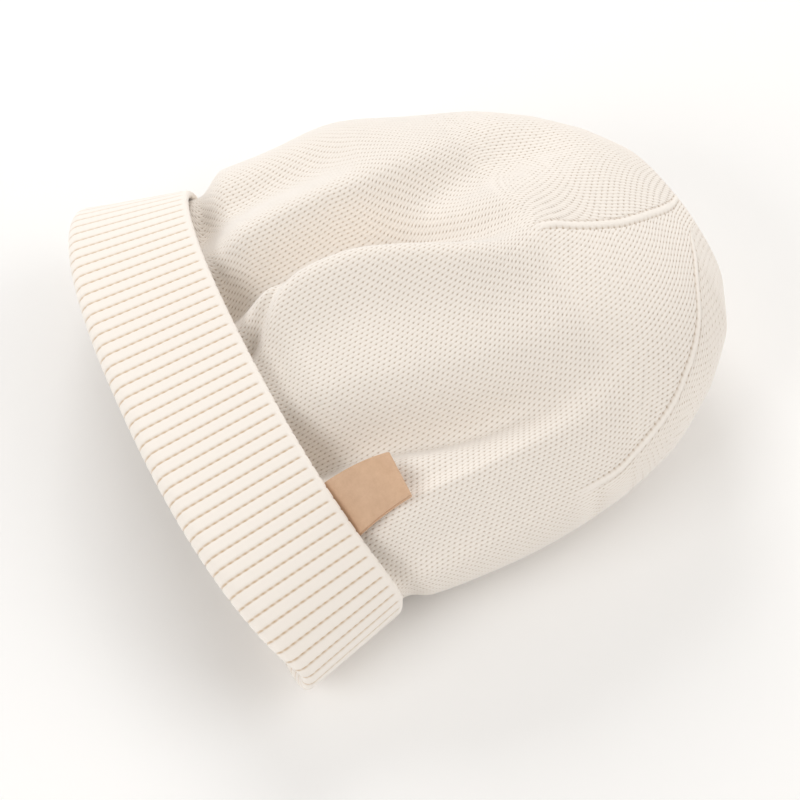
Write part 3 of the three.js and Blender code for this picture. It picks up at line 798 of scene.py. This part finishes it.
# Combed cotton yarn: matte, with a soft halo of fibres. Painted shade, darker and warmer, goes in the
# gaps between stitches and in the grooves between ribs, tinted for the light that passes from yarn to
# yarn. Sizes are in millimetres.
COTTON = {"yarn": "#faf3eb", "gap": "#b39a7c", "painted_rib_groove_shade": "#d2b084", "roughness": 0.95, "fuzz": 0.5}
FIBRES = {"size": 0.35, "detail": 2.0, "jersey_depth": 0.18, "rib_depth": 0.15, "strength": 0.7}
# How much of the gap's colour, which is painted shade, shows: at a stitch's gap, in the groove round
# it, and beside a rope
PAINTED_SHADE_SHARE = {"gap": 0.6, "groove": 0.2, "beside_rope": 0.1}


def cotton_jersey():
    """Plain knitted cotton, with its stitches' gaps from the UV map in wales and courses, and painted
    shade in the gaps.
    """
    material, tree, shader = new_material(
        "knitted cotton jersey", COTTON["roughness"], COTTON["fuzz"]
    )
    place = add_node(tree, "ShaderNodeTexCoord").outputs["Object"]
    uv = add_node(tree, "ShaderNodeUVMap", uv_map="stitches").outputs["UV"]
    turns = add_node(
        tree, "ShaderNodeVectorMath", {0: uv, 1: (2 * math.pi, 2 * math.pi, 0)}, operation="MULTIPLY"
    )
    waves = add_node(tree, "ShaderNodeVectorMath", {0: turns.outputs["Vector"]}, operation="COSINE")
    parts = add_node(tree, "ShaderNodeSeparateXYZ", {"Vector": waves.outputs["Vector"]})
    across = parts.outputs["X"]
    crossed = add_node(
        tree, "ShaderNodeMath", {0: across, 1: parts.outputs["Y"]}, operation="MULTIPLY"
    )
    low = add_node(tree, "ShaderNodeMath", {0: crossed.outputs[0], 1: 0.0}, operation="MINIMUM")
    dot = add_node(
        tree, "ShaderNodeMath", {0: low.outputs[0], 1: low.outputs[0]}, operation="MULTIPLY"
    )
    width = add_node(tree, "ShaderNodeMath", {0: across, 1: across}, operation="MULTIPLY")
    groove = add_node(
        tree, "ShaderNodeMath", {0: width.outputs[0], 1: GROOVE_POWER / 2}, operation="POWER"
    )
    weight = add_node(
        tree, "ShaderNodeMath", {0: dot.outputs[0], 1: PAINTED_SHADE_SHARE["gap"], 2: PAINTED_SHADE_SHARE["groove"]},
        operation="MULTIPLY_ADD",
    )
    depth = add_node(
        tree, "ShaderNodeMath", {0: groove.outputs[0], 1: weight.outputs[0]}, operation="MULTIPLY"
    )
    painted_groove_shade = add_node(tree, "ShaderNodeAttribute", attribute_name="painted_groove_shade").outputs["Fac"]
    share = add_node(
        tree, "ShaderNodeMath", {0: painted_groove_shade, 1: PAINTED_SHADE_SHARE["beside_rope"], 2: depth.outputs[0]},
        operation="MULTIPLY_ADD",
    )
    # Painted shade: the gaps' darker, warmer colour is mixed in by the recess depth and beside the
    # ropes
    colour = add_node(
        tree, "ShaderNodeMix",
        {"Factor": share.outputs[0], MIX_FROM: linear(COTTON["yarn"]), MIX_TO: linear(COTTON["gap"])},
        data_type="RGBA",
    )
    tree.links.new(colour.outputs[MIX_RESULT], shader.inputs["Base Color"])
    fibres = add_node(
        tree, "ShaderNodeTexNoise",
        {"Vector": place, "Scale": 1 / (FIBRES["size"] * MM), "Detail": FIBRES["detail"]},
    )
    height = add_node(
        tree, "ShaderNodeMath", {0: depth.outputs[0], 1: -1.0, 2: fibres.outputs["Fac"]},
        operation="MULTIPLY_ADD",
    )
    bump = add_node(
        tree, "ShaderNodeBump",
        {"Height": height.outputs[0], "Distance": FIBRES["jersey_depth"] * MM,
         "Strength": FIBRES["strength"]},
    )
    tree.links.new(bump.outputs["Normal"], shader.inputs["Normal"])
    return material


def cotton_rib():
    """Ribbed cotton, with painted shade, darker and warmer, in the grooves that the cuff's mesh marks.
    """
    material, tree, shader = new_material("knitted cotton rib", COTTON["roughness"], COTTON["fuzz"])
    place = add_node(tree, "ShaderNodeTexCoord").outputs["Object"]
    painted_groove_shade = add_node(tree, "ShaderNodeAttribute", attribute_name="painted_groove_shade").outputs["Fac"]
    # Painted shade in the rib grooves: the yarn colour is mixed towards a darker, warmer tan by the
    # groove mask
    colour = add_node(
        tree, "ShaderNodeMix",
        {"Factor": painted_groove_shade, MIX_FROM: linear(COTTON["yarn"]), MIX_TO: linear(COTTON["painted_rib_groove_shade"])},
        data_type="RGBA",
    )
    tree.links.new(colour.outputs[MIX_RESULT], shader.inputs["Base Color"])
    fibres = add_node(
        tree, "ShaderNodeTexNoise",
        {"Vector": place, "Scale": 1 / (FIBRES["size"] * MM), "Detail": FIBRES["detail"]},
    )
    bump = add_node(
        tree, "ShaderNodeBump",
        {"Height": fibres.outputs["Fac"], "Distance": FIBRES["rib_depth"] * MM,
         "Strength": FIBRES["strength"]},
    )
    tree.links.new(bump.outputs["Normal"], shader.inputs["Normal"])
    return material


# Tanned leather, split thin and pressed: fine pores, a dull gloss, and soft clouds in its colour.
# Sizes are in millimetres.
LEATHER = {"dark": "#c09a7b", "face": "#e2bf9f", "roughness": 0.55}
CLOUDS = {"size": 4, "detail": 5.0, "roughness": 0.8}
GRAIN = {"size": 0.5, "depth": 0.08, "strength": 0.5}


def pressed_leather():
    """Tan leather, cloudy in colour and finely grained."""
    material, tree, shader = new_material("pressed tan leather", LEATHER["roughness"])
    place = add_node(tree, "ShaderNodeTexCoord").outputs["Object"]
    clouds = add_node(
        tree, "ShaderNodeTexNoise",
        {"Vector": place, "Scale": 1 / (CLOUDS["size"] * MM), "Detail": CLOUDS["detail"],
         "Roughness": CLOUDS["roughness"]},
    )
    grain = add_node(
        tree, "ShaderNodeTexNoise", {"Vector": place, "Scale": 1 / (GRAIN["size"] * MM)}
    )
    colour = add_node(
        tree, "ShaderNodeMix",
        {"Factor": clouds.outputs["Fac"], MIX_FROM: linear(LEATHER["dark"]),
         MIX_TO: linear(LEATHER["face"])},
        data_type="RGBA",
    )
    tree.links.new(colour.outputs[MIX_RESULT], shader.inputs["Base Color"])
    bump = add_node(
        tree, "ShaderNodeBump",
        {"Height": grain.outputs["Fac"], "Distance": GRAIN["depth"] * MM,
         "Strength": GRAIN["strength"]},
    )
    tree.links.new(bump.outputs["Normal"], shader.inputs["Normal"])
    return material


def dress(piece, material, slot, *nodes):
    """Gives a piece its material, and says its body and the nodes that it replaces; its slot is not
    used.
    """
    piece.data.materials.clear()
    piece.data.materials.append(material)
    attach(piece, "root")
    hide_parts(*nodes)


def make_stage():
    """A plain pale floor, and soft light from all round."""
    floor = bmesh.new()
    bmesh.ops.create_grid(floor, x_segments=1, y_segments=1, size=FLOOR["reach"])
    mesh = bpy.data.meshes.new("floor")
    floor.to_mesh(mesh)
    floor.free()
    piece = piece_from("floor", mesh)
    material, _, shader = new_material("pale floor", FLOOR["roughness"])
    shader.inputs["Base Color"].default_value = linear(FLOOR["colour"])
    mesh.materials.append(material)
    world = bpy.data.worlds.new("studio")
    world.use_nodes = True
    world.node_tree.nodes["Background"].inputs["Color"].default_value = WORLD["colour"]
    world.node_tree.nodes["Background"].inputs["Strength"].default_value = WORLD["strength"]
    bpy.context.scene.world = world
    for row in LIGHTS:
        lamp = bpy.data.lights.new(row["name"], "AREA")
        lamp.size = row["size"]
        lamp.energy = row["watts"]
        light = bpy.data.objects.new(row["name"], lamp)
        light.location = row["at"]
        light.rotation_mode = "QUATERNION"
        light.rotation_quaternion = (-Vector(row["at"])).to_track_quat("-Z", "Y")
        bpy.context.scene.collection.objects.link(light)
    bpy.context.scene.view_settings.view_transform = "Standard"


def make_camera():
    """The photograph's view: from the near side and the mouth, high above the table."""
    azimuth = math.radians(CAMERA["azimuth"])
    elevation = math.radians(CAMERA["elevation"])
    back = Vector((
        math.sin(azimuth) * math.cos(elevation),
        -math.cos(azimuth) * math.cos(elevation),
        math.sin(elevation),
    ))
    camera_data = bpy.data.cameras.new("camera")
    camera_data.sensor_width = CAMERA["sensor"]
    camera_data.lens = camera_data.sensor_width * CAMERA["distance"] / CAMERA["width"]
    camera = bpy.data.objects.new("camera", camera_data)
    camera.location = Vector(SHIFT * MM) + back * CAMERA["distance"]
    camera.rotation_mode = "QUATERNION"
    camera.rotation_quaternion = (-back).to_track_quat("-Z", "Y")
    bpy.context.scene.collection.objects.link(camera)
    bpy.context.scene.camera = camera


def build():
    """Makes the scene, then the cap's pieces, and dresses them."""
    make_camera()
    make_stage()
    jersey = make_jersey()
    cuff = make_cuff()
    label = make_label([jersey["main"], jersey["near"]])
    fabric = cotton_jersey()
    for piece in jersey.values():
        dress(piece, fabric, "jersey_knit", "jersey_crown")
    dress(cuff, cotton_rib(), "rib_knit", "rib_cuff")
    dress(label, pressed_leather(), "label_leather", "fold_label")


build()
